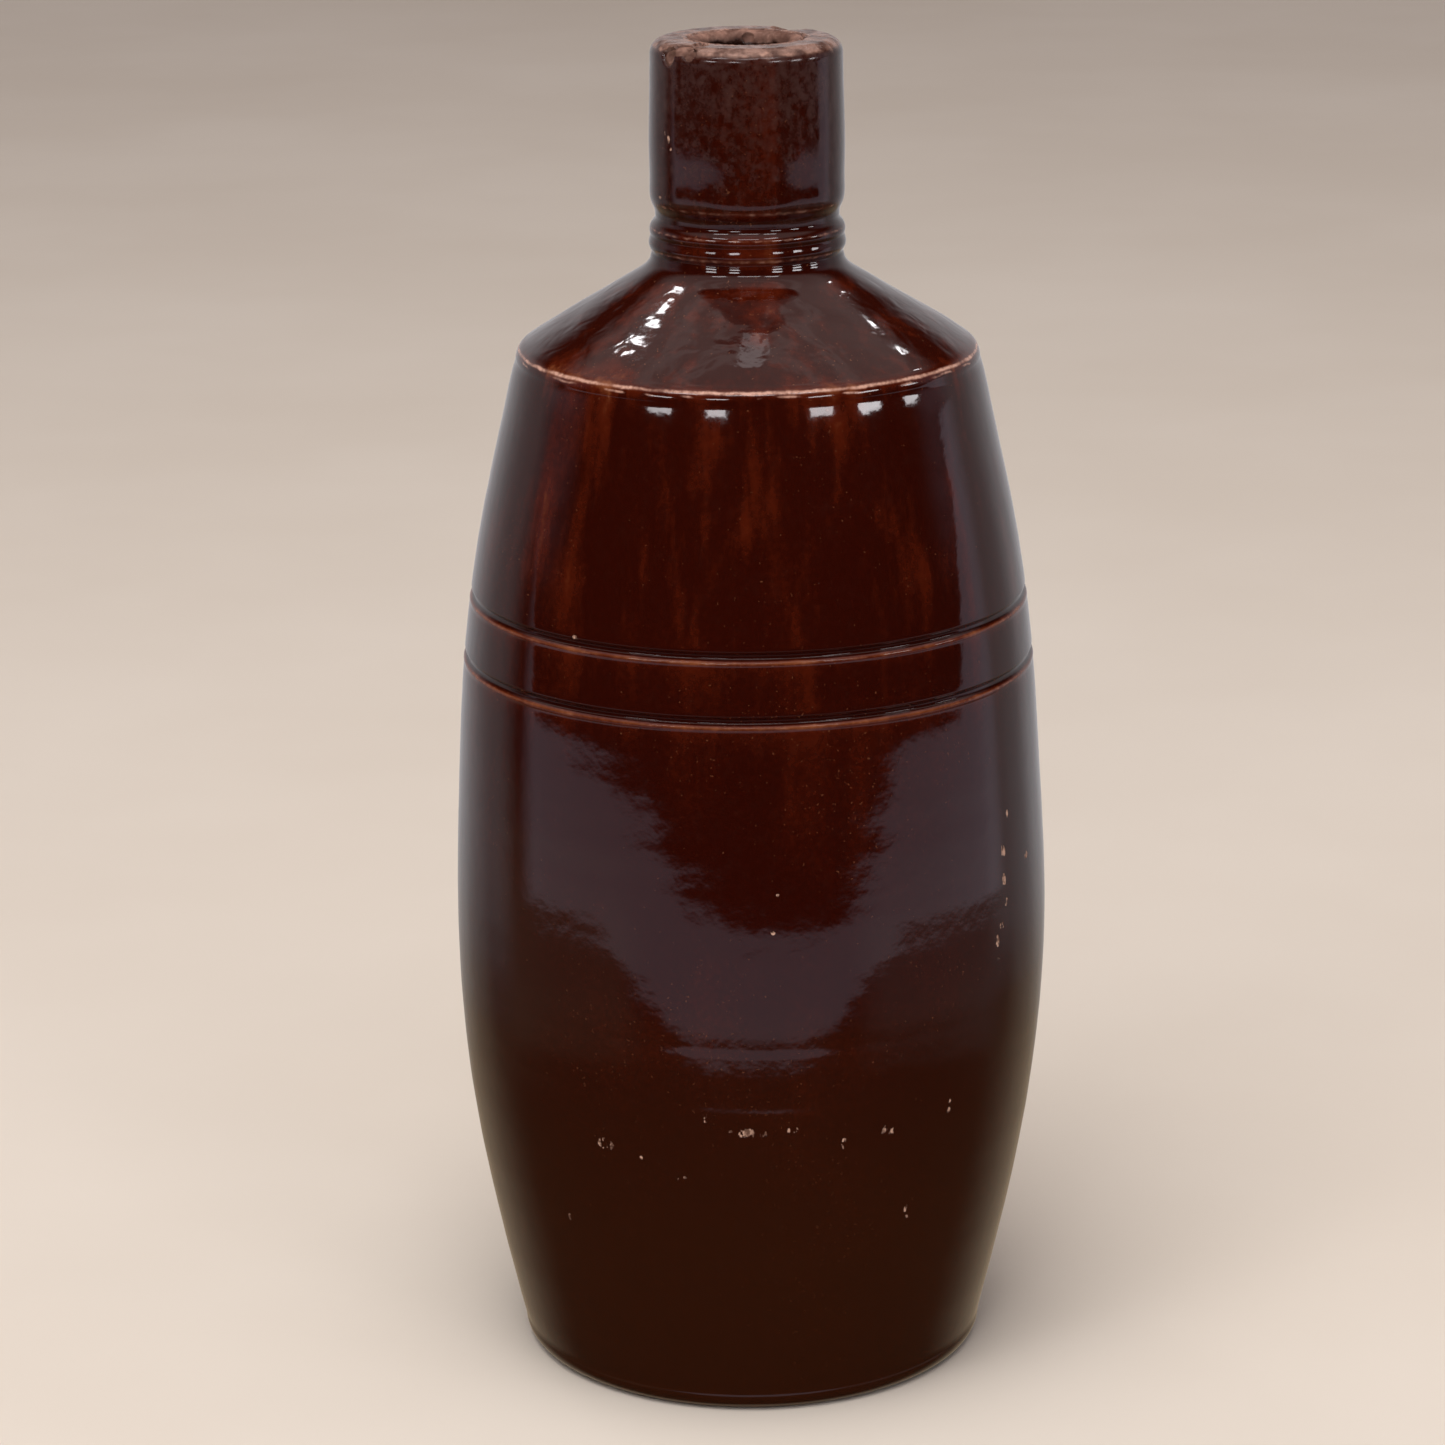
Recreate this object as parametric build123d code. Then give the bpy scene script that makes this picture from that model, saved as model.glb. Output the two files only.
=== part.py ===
from build123d import *
import os

# Narrow-mouthed stoneware bottle, thrown on a wheel and glazed inside and out.
# Millimetres. The origin is the centre of the flat foot, and +Z runs up the axis to the mouth.
# Every outline below lists (radius, height) stations of the finished, glazed surface.

HEIGHT = 231.0
GLAZE = 0.5            # outer glaze coat
LINER = 0.4            # inner glaze coat
FLOOR = 8.0            # fired clay floor, and the join between floor and wall

FOOT_FLAT_RADIUS = 37.9
FOOT_EDGE_MIDDLE = (39.95, 1.0)
FOOT_EDGE_TOP = (40.7, 3.4)
BARE_FOOT = 1.0        # the outer glaze stops this far above the table

LOWER_STATIONS = ((44.9, 21.6), (48.9, 43.0), (51.5, 79.0), (50.35, 106.0))
UPPER_STATIONS = ((45.6, 150.0), (43.0, 161.0), (40.9, 171.5))

GIRDLE_LOW = 125.4     # crest of the lower incised line, where the two barrel walls are joined
GIRDLE_HIGH = 136.0    # crest of the upper incised line
GIRDLE_LOW_RADIUS = 49.1
GIRDLE_HIGH_RADIUS = 47.85
LINE_DEPTH = 0.7
LINE_BOTTOM_RISE = 1.2  # crest to the deepest point of a line
LINE_TOP_RISE = 1.9     # crest to the upper lip of a line
LINE_LIP_SETBACK = 0.25  # how far the upper lip stands behind the crest

ARRIS_OUTER = (39.5, 177.3)
ARRIS_CREST = (38.95, 178.9)
ARRIS_INNER = (37.8, 179.85)
SHOULDER_STATIONS = ((34.9, 181.8), (28.4, 185.75))
NECK_ROOT_OUTER = (20.9, 190.35)
NECK_ROOT_MIDDLE = (17.5, 192.45)
NECK_ROOT_INNER = (16.25, 194.8)
BEAD_CREST = (16.48, 196.8)
BEAD_TOP = (16.2, 198.8)
NECK_GROOVE = (15.55, 201.4)
COLLAR_FOOT = (16.3, 205.0)
COLLAR_CREST = (16.43, 212.0)
COLLAR_UPPER = (16.27, 221.0)
COLLAR_TOP = (16.1, 229.6)
NECK_STATIONS = (BEAD_CREST, BEAD_TOP, NECK_GROOVE, COLLAR_FOOT, COLLAR_CREST, COLLAR_UPPER)
RIM_MIDDLE = (15.75, 230.6)
RIM_FLAT = (14.9, HEIGHT)

BORE_RADIUS = 7.9
BORE_BOTTOM = 195.0
MOUTH_ROUNDING = 1.5
MOUTH_ARC_MIDDLE = 0.3  # share of the rounding at which its arc passes halfway

SHOULDER_JOIN = ARRIS_OUTER[1]
NECK_JOIN = 192.5
COLLAR_JOIN = NECK_GROOVE[1]

CAVITY_FLOOR_RADIUS = 30.0
CAVITY_CORNER = (36.0, 12.6)
CAVITY_WALL = ((39.6, 24.0), (43.4, 43.0), (46.0, 79.0), (44.9, 106.0), (42.0, 136.0), (37.4, 161.0))
CAVITY_SHOULDER = (33.2, 173.6)
CAVITY_DOME = ((27.0, 179.2), (17.0, 185.2), (10.2, 189.6))


def point(station, inset=0.0):
    """A station on the XZ plane, moved towards the axis by inset."""
    radius, height = station
    return (radius - inset, 0, height)


def curve(stations, inset=0.0):
    """A smooth curve through the stations."""
    return Spline(*[point(station, inset) for station in stations])


def line(stations, inset=0.0):
    """Straight runs through the stations."""
    return Polyline(*[point(station, inset) for station in stations])


def incised_line(crest_radius, crest_height):
    """A tool line in the wet clay: a low crest, a sloping floor and a steep upper lip."""
    crest = (crest_radius, crest_height)
    bottom = (crest_radius - LINE_DEPTH, crest_height + LINE_BOTTOM_RISE)
    lip = (crest_radius - LINE_LIP_SETBACK, crest_height + LINE_TOP_RISE)
    return [crest, bottom, lip]


def body_solid(inset):
    """The whole outside shape as a solid of revolution, smaller in radius by inset."""
    low_line = incised_line(GIRDLE_LOW_RADIUS, GIRDLE_LOW)
    high_line = incised_line(GIRDLE_HIGH_RADIUS, GIRDLE_HIGH)
    edges = [
        line([(inset, 0), (FOOT_FLAT_RADIUS + inset, 0)], inset),
        ThreePointArc(point((FOOT_FLAT_RADIUS, 0)), point(FOOT_EDGE_MIDDLE, inset),
                      point(FOOT_EDGE_TOP, inset)),
        curve([FOOT_EDGE_TOP, *LOWER_STATIONS, low_line[0]], inset),
        line(low_line, inset),
        curve([low_line[-1], high_line[0]], inset),
        line(high_line, inset),
        curve([high_line[-1], *UPPER_STATIONS, ARRIS_OUTER], inset),
        ThreePointArc(point(ARRIS_OUTER, inset), point(ARRIS_CREST, inset), point(ARRIS_INNER, inset)),
        curve([ARRIS_INNER, *SHOULDER_STATIONS, NECK_ROOT_OUTER], inset),
        ThreePointArc(point(NECK_ROOT_OUTER, inset), point(NECK_ROOT_MIDDLE, inset),
                      point(NECK_ROOT_INNER, inset)),
        curve([NECK_ROOT_INNER, *NECK_STATIONS, COLLAR_TOP], inset),
        ThreePointArc(point(COLLAR_TOP, inset), point(RIM_MIDDLE, inset), point(RIM_FLAT, inset)),
        line([RIM_FLAT, (inset, HEIGHT), (inset, 0)], inset),
    ]
    return revolve(make_face(edges), Axis.Z)


def cavity_solid(inset):
    """The hollow for the contents, with its floor and walls moved inwards by inset."""
    neck = (BORE_RADIUS, BORE_BOTTOM)
    floor_edge = (CAVITY_FLOOR_RADIUS, FLOOR + inset)
    edges = [
        line([(inset, FLOOR + inset), floor_edge], inset),
        curve([floor_edge, CAVITY_CORNER, *CAVITY_WALL, CAVITY_SHOULDER, *CAVITY_DOME, neck], inset),
        line([neck, (inset, BORE_BOTTOM), (inset, FLOOR + inset)], inset),
    ]
    return revolve(make_face(edges), Axis.Z)


def mouth_bore():
    """The straight hole through neck and collar that a cork closes, rounded over at the rim."""
    round_over_start = HEIGHT - MOUTH_ROUNDING
    arc_middle = MOUTH_ARC_MIDDLE * MOUTH_ROUNDING
    round_over_middle = (BORE_RADIUS + arc_middle, HEIGHT - arc_middle)
    edges = [
        line([(0, HEIGHT), (0, BORE_BOTTOM), (BORE_RADIUS, BORE_BOTTOM), (BORE_RADIUS, round_over_start)]),
        ThreePointArc(point((BORE_RADIUS, round_over_start)), point(round_over_middle),
                      point((BORE_RADIUS + MOUTH_ROUNDING, HEIGHT))),
        line([(BORE_RADIUS + MOUTH_ROUNDING, HEIGHT), (0, HEIGHT)]),
    ]
    return revolve(make_face(edges), Axis.Z)


def between(solid, low, high):
    """The slice of a solid from one height to another."""
    slab = Pos(0, 0, low) * Cylinder(2 * FOOT_FLAT_RADIUS, high - low,
                                     align=(Align.CENTER, Align.CENTER, Align.MIN))
    return solid & slab


def main():
    os.makedirs("parts", exist_ok=True)
    finished = body_solid(0.0)
    clay = body_solid(GLAZE) - cavity_solid(0.0) - mouth_bore()
    coat = finished - body_solid(GLAZE)
    liner = cavity_solid(0.0) - cavity_solid(LINER)
    nodes = {
        "floor_disc": between(clay, 0, FLOOR),
        "lower_wall": between(clay, FLOOR, GIRDLE_LOW),
        "upper_wall": between(clay, GIRDLE_LOW, SHOULDER_JOIN),
        "shoulder": between(clay, SHOULDER_JOIN, NECK_JOIN),
        "neck": between(clay, NECK_JOIN, COLLAR_JOIN),
        "lip_collar": between(clay, COLLAR_JOIN, HEIGHT),
        "glaze_lower_wall": between(coat, BARE_FOOT, GIRDLE_LOW),
        "glaze_upper_wall": between(coat, GIRDLE_LOW, SHOULDER_JOIN),
        "glaze_shoulder": between(coat, SHOULDER_JOIN, NECK_JOIN),
        "glaze_neck": between(coat, NECK_JOIN, COLLAR_JOIN),
        "glaze_collar": between(coat, COLLAR_JOIN, COLLAR_TOP[1]),
        "glaze_liner": liner,
    }
    for name, shape in nodes.items():
        export_step(shape, f"parts/{name}.step")


main()
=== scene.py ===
import math

import bpy
import numpy as np
from mathutils import Matrix, Vector


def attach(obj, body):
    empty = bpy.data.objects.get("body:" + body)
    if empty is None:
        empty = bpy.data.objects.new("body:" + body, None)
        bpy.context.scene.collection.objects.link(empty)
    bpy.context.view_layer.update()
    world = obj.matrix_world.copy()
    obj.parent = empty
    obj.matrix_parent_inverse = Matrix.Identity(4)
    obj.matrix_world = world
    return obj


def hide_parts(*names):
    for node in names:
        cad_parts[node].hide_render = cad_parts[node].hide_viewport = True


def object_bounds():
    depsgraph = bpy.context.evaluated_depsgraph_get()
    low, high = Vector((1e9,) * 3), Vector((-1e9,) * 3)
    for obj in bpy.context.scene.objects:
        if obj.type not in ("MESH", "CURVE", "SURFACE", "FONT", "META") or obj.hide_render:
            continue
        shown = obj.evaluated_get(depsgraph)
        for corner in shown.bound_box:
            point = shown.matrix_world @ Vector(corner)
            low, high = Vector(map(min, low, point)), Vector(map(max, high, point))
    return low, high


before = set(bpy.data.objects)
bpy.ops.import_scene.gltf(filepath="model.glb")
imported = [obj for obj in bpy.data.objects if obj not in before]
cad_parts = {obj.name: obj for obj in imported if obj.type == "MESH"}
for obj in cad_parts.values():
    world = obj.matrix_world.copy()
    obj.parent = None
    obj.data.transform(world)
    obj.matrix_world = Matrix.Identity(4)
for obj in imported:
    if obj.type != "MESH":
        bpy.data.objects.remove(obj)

cad_low, cad_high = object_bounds()

# Shapes are worked out in millimetres. Meshes, shader positions, lights and the camera are in metres.
MM = 0.001
RNG_SEED = 7

# ---------------------------------------------------------------- outside shape, (radius, height) in mm
# Each outline lists the stations of the finished, glazed surface, from the bottom upwards.
HEIGHT = cad_high.z / MM
FOOT_FLAT = (37.9, 0.0)
FOOT_EDGE_TOP = (40.7, 3.4)
FOOT_EDGE = [FOOT_FLAT, (39.95, 1.0), FOOT_EDGE_TOP]
BARREL = [FOOT_EDGE_TOP, (44.9, 21.6), (48.9, 43.0), (51.45, 79.0), (50.43, 106.0), (49.1, 125.4),
          (47.85, 136.0), (45.55, 150.0), (43.2, 161.0), (40.87, 171.5), (40.12, 174.7), (39.42, 177.0)]
ARRIS = [(39.42, 177.0), (38.92, 178.8), (37.8, 179.85)]
SHOULDER = [(37.8, 179.85), (34.9, 181.8), (28.4, 185.75), (22.4, 189.4), (19.2, 191.35), (17.3, 192.75),
            (16.45, 194.0), (16.25, 194.8)]
BEAD_LOW = [(16.25, 194.8), (16.12, 195.25), (16.45, 196.0), (16.62, 196.9), (16.42, 197.8), (16.36, 198.2)]
BEAD_HIGH = [(16.36, 198.2), (16.5, 198.9), (16.36, 199.7), (16.0, 200.3)]
NECK_GROOVE = [(16.0, 200.3), (15.45, 201.0), (15.5, 201.4)]
COLLAR = [(15.5, 201.4), (15.62, 202.5), (16.0, 203.4), (16.26, 204.2), (16.38, 207.0), (16.43, 212.0),
          (16.27, 221.0), (16.12, 228.3)]
RIM = [(16.12, 228.3), (15.4, 230.2), (13.6, 231.0)]
GIRDLE_LOW = 125.4      # crests of the two incised lines
GIRDLE_HIGH = 136.0
ARRIS_CREST = 178.85    # the sharp edge between barrel and shoulder
BEAD_CRESTS = (196.0, 199.5)
COLLAR_FOOT = 203.9     # where the collar starts above its groove
FLOOR_JOIN = 8.0        # heights where one piece ends and the next begins
ARRIS_JOIN = 177.3
NECK_JOIN = 192.5
COLLAR_JOIN = 201.4
GLAZE = 0.5             # thickness of the outer coats
BARE_FOOT = 0.7         # the coat stops this far above the table
RIM_COAT_EDGE = 9.4     # radius at which the coat on the rim has worn away
COAT_ON_RIM = 0.42      # how far the clay lies under the coat on the rim
BORE_RADIUS = 7.9
MOUTH_ROUNDING = 1.5
NECK_LEAN = 0.34
FOOT_LEAN = 0.22


def natural_spline(stations, spacing):
    """Points about spacing apart along a smooth curve through the stations."""
    pts = np.array(stations, float)
    chord = np.concatenate([[0], np.cumsum(np.hypot(*np.diff(pts, axis=0).T))])
    steps = np.diff(chord)
    count = len(pts)
    matrix = np.eye(count)
    right = np.zeros((count, 2))
    for i in range(1, count - 1):
        matrix[i, i - 1:i + 2] = steps[i - 1], 2 * (steps[i - 1] + steps[i]), steps[i]
        right[i] = 6 * ((pts[i + 1] - pts[i]) / steps[i] - (pts[i] - pts[i - 1]) / steps[i - 1])
    bend = np.linalg.solve(matrix, right)
    samples = np.linspace(0, chord[-1], max(2, int(round(chord[-1] / spacing)) + 1))
    span = np.clip(np.searchsorted(chord, samples, side="right") - 1, 0, count - 2)
    h = steps[span][:, None]
    a = (chord[span + 1][:, None] - samples[:, None]) / h
    b = 1 - a
    cubic = (a ** 3 - a) * bend[span] + (b ** 3 - b) * bend[span + 1]
    return a * pts[span] + b * pts[span + 1] + cubic * h ** 2 / 6


def arc(stations, spacing):
    """Points along the circle through three stations."""
    (ax, ay), (bx, by), (cx, cy) = stations
    d = 2 * (ax * (by - cy) + bx * (cy - ay) + cx * (ay - by))
    ux = ((ax ** 2 + ay ** 2) * (by - cy) + (bx ** 2 + by ** 2) * (cy - ay) + (cx ** 2 + cy ** 2) * (ay - by)) / d
    uy = ((ax ** 2 + ay ** 2) * (cx - bx) + (bx ** 2 + by ** 2) * (ax - cx) + (cx ** 2 + cy ** 2) * (bx - ax)) / d
    radius = math.hypot(ax - ux, ay - uy)
    start = math.atan2(ay - uy, ax - ux)
    turn = math.atan2(cy - uy, cx - ux) - start
    turn = (turn + math.pi) % (2 * math.pi) - math.pi
    angles = start + np.linspace(0, turn, max(3, int(abs(turn) * radius / spacing) + 1))
    return np.stack([ux + radius * np.cos(angles), uy + radius * np.sin(angles)], -1)


def joined(*runs):
    """Runs of points end to end, without the repeated end points."""
    kept = [runs[0]]
    for run in runs[1:]:
        kept.append(run[1:])
    return np.vstack(kept)


def soft_step(x, low, high):
    """0 below low, 1 above high, and a smooth rise between."""
    t = np.clip((x - low) / (high - low), 0, 1)
    return t * t * (3 - 2 * t)


def bump(x, centre, width):
    """A smooth hump: 1 at the centre, near 0 two widths away."""
    return np.exp(-((x - centre) / width) ** 2)


def incised_line(z, crest):
    """Depth of a tool line: a raised crest, a rounded floor and a steep upper lip."""
    rise = z - crest
    floor = soft_step(rise, 0.0, 0.7) * (1 - soft_step(rise, 1.1, 1.9))
    return 0.6 * floor - 0.07 * bump(rise, -0.25, 0.35)


class Ripples:
    """Smooth, seeded unevenness over angle and height: a sum of cosine waves.

    turns is the range of waves in one turn round the axis, lengths is the range of their lengths in mm
    up the axis, and size is about how far the sum swings.
    """

    def __init__(self, seed, count, turns, lengths, size):
        rng = np.random.default_rng(seed)
        self.turns = rng.integers(turns[0], turns[1] + 1, count)
        self.waves = 2 * math.pi / rng.uniform(lengths[0], lengths[1], count)
        self.phases = rng.uniform(0, 2 * math.pi, count)
        self.sizes = rng.uniform(0.4, 1.0, count) * size / math.sqrt(count)

    def __call__(self, angle, height):
        total = np.zeros(np.broadcast(angle, height).shape)
        for turns, wave, phase, size in zip(self.turns, self.waves, self.phases, self.sizes):
            total += size * np.cos(turns * angle + wave * height + phase)
        return total


lumps = Ripples(RNG_SEED + 1, 14, (0, 4), (45, 160), 0.16)
throwing = Ripples(RNG_SEED + 2, 16, (0, 1), (6, 18), 0.014)
runs = Ripples(RNG_SEED + 3, 20, (9, 40), (60, 400), 0.02)
crest_breaks = Ripples(RNG_SEED + 4, 26, (2, 45), (6, 60), 1.0)
edge_wander = Ripples(RNG_SEED + 5, 18, (2, 60), (5, 40), 1.0)
shoulder_waves = Ripples(RNG_SEED + 6, 20, (1, 9), (4, 12), 0.085)

# faint tool ledges low on the barrel: (height at the front, tilt in mm, size, width)
LEDGES = [(96.5, 0.9, 0.012, 1.6), (69.0, 1.0, 0.04, 1.4), (58.8, 1.05, 0.055, 1.3), (51.6, 0.5, 0.02, 1.3),
          (30.5, 0.3, 0.02, 1.4)]


def ledge_height(front_height, tilt, angle):
    """The height of a slanting ledge, higher to the left of the front."""
    return front_height - tilt * np.sin(angle)


def uneven(angle, height):
    """How far the thrown surface stands off a true surface of revolution, in mm."""
    body = 1 - soft_step(height, 176, 181)
    on_shoulder = soft_step(height, 180.3, 182) * (1 - soft_step(height, 189, 191.5))
    calm_foot = soft_step(height, 0, 9)
    out = lumps(angle, height) * (0.35 + 0.65 * body) * calm_foot
    out = out + throwing(angle, height) * (0.3 + 0.7 * body) * calm_foot
    out = out + runs(angle, height) * body * soft_step(height, 40, 90)
    out = out + shoulder_waves(angle, height) * on_shoulder
    for front, tilt, size, width in LEDGES:
        rise = height - ledge_height(front, tilt, angle)
        # a ledge is plainest at the front and nearly gone round the sides
        fade = 0.22 + 0.78 * np.exp(-((np.sin(angle / 2) - 0.03) / 0.14) ** 2)
        ramp = np.clip(rise / width, 0, 1)
        out = out - size * fade * ramp * np.exp(-np.maximum(rise - width, 0) / 6)
    return out


def lean(height):
    """How far the axis stands to the right at a height, in mm: the neck right, the foot left."""
    return NECK_LEAN * soft_step(height, 120, 225) - FOOT_LEAN * (1 - soft_step(height, 5, 75))


# ---------------------------------------------------------------- meshes
def lathe(profile, columns, shape=None, closed=True):
    """Points (rows x columns x 3, in mm) of a profile turned round the axis, then worked by shape."""
    angle = np.linspace(0, 2 * math.pi, columns, endpoint=False)[None, :]
    radius = np.repeat(profile[:, :1], columns, 1)
    height = np.repeat(profile[:, 1:2], columns, 1)
    if shape:
        radius, height = shape(angle, radius, height)
    x = radius * np.sin(angle) + lean(height)
    y = -radius * np.cos(angle)
    return np.stack([x, y, height], -1)


def mesh_from_rows(name, points, loop=True, sharp_rows=(), layers=None, cap_ends=False):
    """A smooth mesh from rows of points round the axis. loop joins the last row to the first."""
    rows, columns, _ = points.shape
    index = np.arange(rows * columns).reshape(rows, columns)
    low = index if loop else index[:-1]
    high = np.roll(index, -1, 0) if loop else index[1:]
    quads = np.stack([low, np.roll(low, -1, 1), np.roll(high, -1, 1), high], -1).reshape(-1, 4)
    coordinates = (points.reshape(-1, 3) * MM).tolist()
    faces = quads.tolist()
    if cap_ends:
        for row, flip in ((index[0], True), (index[-1], False)):
            centre = points[0 if flip else -1].mean(0) * MM
            coordinates.append(centre.tolist())
            hub = len(coordinates) - 1
            ring = row.tolist()
            nexts = ring[1:] + ring[:1]
            faces += [[hub, b, a] if flip else [hub, a, b] for a, b in zip(ring, nexts)]
    mesh = bpy.data.meshes.new(name)
    mesh.from_pydata(coordinates, [], faces)
    mesh.update()
    mesh.polygons.foreach_set("use_smooth", [True] * len(mesh.polygons))
    mark_sharp(mesh, [set(index[row].tolist()) for row in sharp_rows])
    for layer, values in (layers or {}).items():
        attribute = mesh.attributes.new(layer, "FLOAT", "POINT")
        padded = np.zeros(len(coordinates))
        padded[:values.size] = values.reshape(-1)
        attribute.data.foreach_set("value", padded)
    piece = bpy.data.objects.new(name, mesh)
    bpy.context.scene.collection.objects.link(piece)
    return piece


def mark_sharp(mesh, rings):
    """Creases the edges that run along these rings of vertices."""
    if not rings:
        return
    ring_of = {vertex: number for number, ring in enumerate(rings) for vertex in ring}
    sharp = mesh.attributes.get("sharp_edge") or mesh.attributes.new("sharp_edge", "BOOLEAN", "EDGE")
    for edge in mesh.edges:
        a, b = edge.vertices
        if a in ring_of and ring_of.get(b) == ring_of[a]:
            sharp.data[edge.index].value = True


def slice_profile(profile, low, high):
    """The part of a bottom-to-top profile between two heights, with points exactly at the cuts."""
    heights = profile[:, 1]
    ends = [(np.interp(h, heights, profile[:, 0]), h) for h in (low, high)]
    inside = profile[(heights > low + 0.02) & (heights < high - 0.02)]
    return np.vstack([ends[:1], inside, ends[1:]])


def dense_heights():
    """Row heights up the barrel: coarse on plain walls, fine at tool lines and ledges."""
    plain = np.arange(FOOT_EDGE_TOP[1], BARREL[-1][1], 1.1)
    keep = np.ones(len(plain), bool)
    fine = []
    for crest in (GIRDLE_LOW, GIRDLE_HIGH):
        keep &= (plain < crest - 1.6) | (plain > crest + 2.6)
        fine.append(np.arange(crest - 1.6, crest + 2.6, 0.11))
    for low, high, step in ((27.5, 33.5, 0.5), (49, 73.0, 0.35), (93.5, 99.5, 0.5)):
        keep &= (plain < low) | (plain > high)
        fine.append(np.arange(low, high, step))
    return np.unique(np.concatenate([plain[keep], *fine, [GIRDLE_LOW, BARREL[-1][1]]]))


def barrel_profile():
    curve = natural_spline(BARREL, 0.4)
    heights = dense_heights()
    radii = np.interp(heights, curve[:, 1], curve[:, 0])
    for crest in (GIRDLE_LOW, GIRDLE_HIGH):
        radii = radii - incised_line(heights, crest)
    return np.stack([radii, heights], -1)


def outside_profile():
    """The finished outside from the foot's flat to the rim's flat, bottom to top."""
    return joined(arc(FOOT_EDGE, 0.25), barrel_profile(), arc(ARRIS, 0.12), natural_spline(SHOULDER, 0.3),
                  natural_spline(BEAD_LOW, 0.13), natural_spline(BEAD_HIGH, 0.13),
                  np.array(NECK_GROOVE), natural_spline(COLLAR, 0.17), arc(RIM, 0.1))


OUTSIDE = outside_profile()


def crest_wear(angle, height):
    """0 to 1: where the coat is worn or drawn off an edge, so that pale clay shows in a thin line."""
    breaks = 0.74 + 0.26 * np.clip(crest_breaks(angle, height * 3) * 1.6, -1, 1)
    wander = 0.07 * edge_wander(angle, height)
    wear = 1.15 * bump(height, ARRIS_CREST + wander, 0.27) * breaks
    second_line = np.clip(crest_breaks(angle, height * 5) * 2.2, 0, 1)
    wear = wear + 0.7 * bump(height, ARRIS_CREST - 0.7 + 2 * wander, 0.2) * second_line
    for crest in (GIRDLE_HIGH, GIRDLE_LOW):
        wear = wear + 0.3 * bump(height, crest - 0.1, 0.17) * breaks ** 2
    wear = wear + 0.5 * bump(height, BEAD_CRESTS[0] + wander, 0.28) * breaks
    wear = wear + 0.42 * bump(height, BEAD_CRESTS[1] + wander, 0.24) * breaks
    wear = wear + 0.38 * bump(height, COLLAR_FOOT + wander, 0.3) * breaks
    return np.clip(wear, 0, 1)


def thin_coat(angle, height):
    """0 to 1: where the coat has run thin and the colour turns orange-brown."""
    thin = 0.6 * np.exp(-np.abs(height - ARRIS_CREST) / 0.7)
    for crest in (GIRDLE_LOW, GIRDLE_HIGH):
        below = crest - height
        thin = thin + 0.5 * bump(below, 0.0, 0.4) + 0.3 * np.exp(-np.abs(below) / 1.8) * (below > -0.3)
        thin = thin - 0.9 * bump(height, crest + 1.2, 0.7)
    for front, tilt, size, width in LEDGES:
        thin = thin + 0.8 * size * bump(height, ledge_height(front, tilt, angle), width * 0.5)
    thin = thin + 0.3 * bump(height, BEAD_CRESTS[0], 0.4) + 0.2 * bump(height, BEAD_CRESTS[1], 0.4)
    thin = thin + 0.2 * bump(height, COLLAR_FOOT, 0.5)
    thin = thin - 0.9 * bump(height, 201.6, 0.9) - 0.6 * bump(height, 193.6, 1.2)
    return np.clip(thin, -1, 1)


def coat_shape(angle, radius, height):
    """The thrown surface without chips."""
    return radius + uneven(angle, height), height


def level_run(radii, height):
    """Stations along a flat at one height."""
    return np.stack([radii, np.full(len(radii), height)], -1)


def clay_under(outer):
    """The clay's outside under the coat: set in by the coat's thickness, and not at all where it is bare."""
    inset = GLAZE * soft_step(outer[:, 1], 0.2, 1.2)
    return outer - np.stack([inset, np.zeros(len(outer))], -1)


def shell(name, low, high, columns):
    """A closed glaze coat between two heights: the finished outside, and the clay's outside as its back."""
    outer = slice_profile(OUTSIDE, low, high)
    back = outer[::3]
    if len(outer) % 3 != 1:
        back = np.vstack([back, outer[-1:]])
    back = back[::-1] - (GLAZE, 0)
    profile = np.vstack([outer, back])
    points = lathe(profile, columns, coat_shape)
    angle = np.linspace(0, 2 * math.pi, columns, endpoint=False)[None, :]
    height = np.repeat(profile[:, 1:2], columns, 1)
    layers = {"wear": crest_wear(angle, height), "thin": thin_coat(angle, height)}
    last = len(outer) - 1
    return mesh_from_rows(name, points, sharp_rows=(0, last, last + 1, len(profile) - 1), layers=layers)


# ---------------------------------------------------------------- chips
def carve(points, centre, radii, direction, roughness, seed, sink=0.0):
    """Pushes points that lie inside an ellipsoid along direction to its far side, and sink further."""
    flat = points.reshape(-1, 3)
    scale = np.array(radii, float)
    start = (flat - centre) / scale
    way = np.array(direction, float) / scale
    a = way @ way
    b = 2 * start @ way
    c = (start ** 2).sum(1) - 1
    root = b * b - 4 * a * c
    inside = (c < 0) & (root > 0)
    travel = np.zeros(len(flat))
    travel[inside] = (-b[inside] + np.sqrt(root[inside])) / (2 * a)
    rng = np.random.default_rng(seed)
    waves = rng.normal(0, 1, (12, 3)) * rng.uniform(1.2, 5.0, (12, 1))
    texture = np.cos(flat @ waves.T + rng.uniform(0, 6.3, 12)).mean(1)
    travel = travel * (1 + roughness * texture) + sink * soft_step(travel, 0, 0.15)
    return (flat + travel[:, None] * np.array(direction)).reshape(points.shape)


def rim_point(angle_degrees, radius, height):
    angle = math.radians(angle_degrees)
    return np.array([radius * math.sin(angle) + lean(np.array(height)), -radius * math.cos(angle), height])


def inward(angle_degrees, down):
    """A unit direction into the clay: towards the axis, and down by that share."""
    angle = math.radians(angle_degrees)
    way = np.array([-math.sin(angle), math.cos(angle), -down])
    return way / np.linalg.norm(way)


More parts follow.
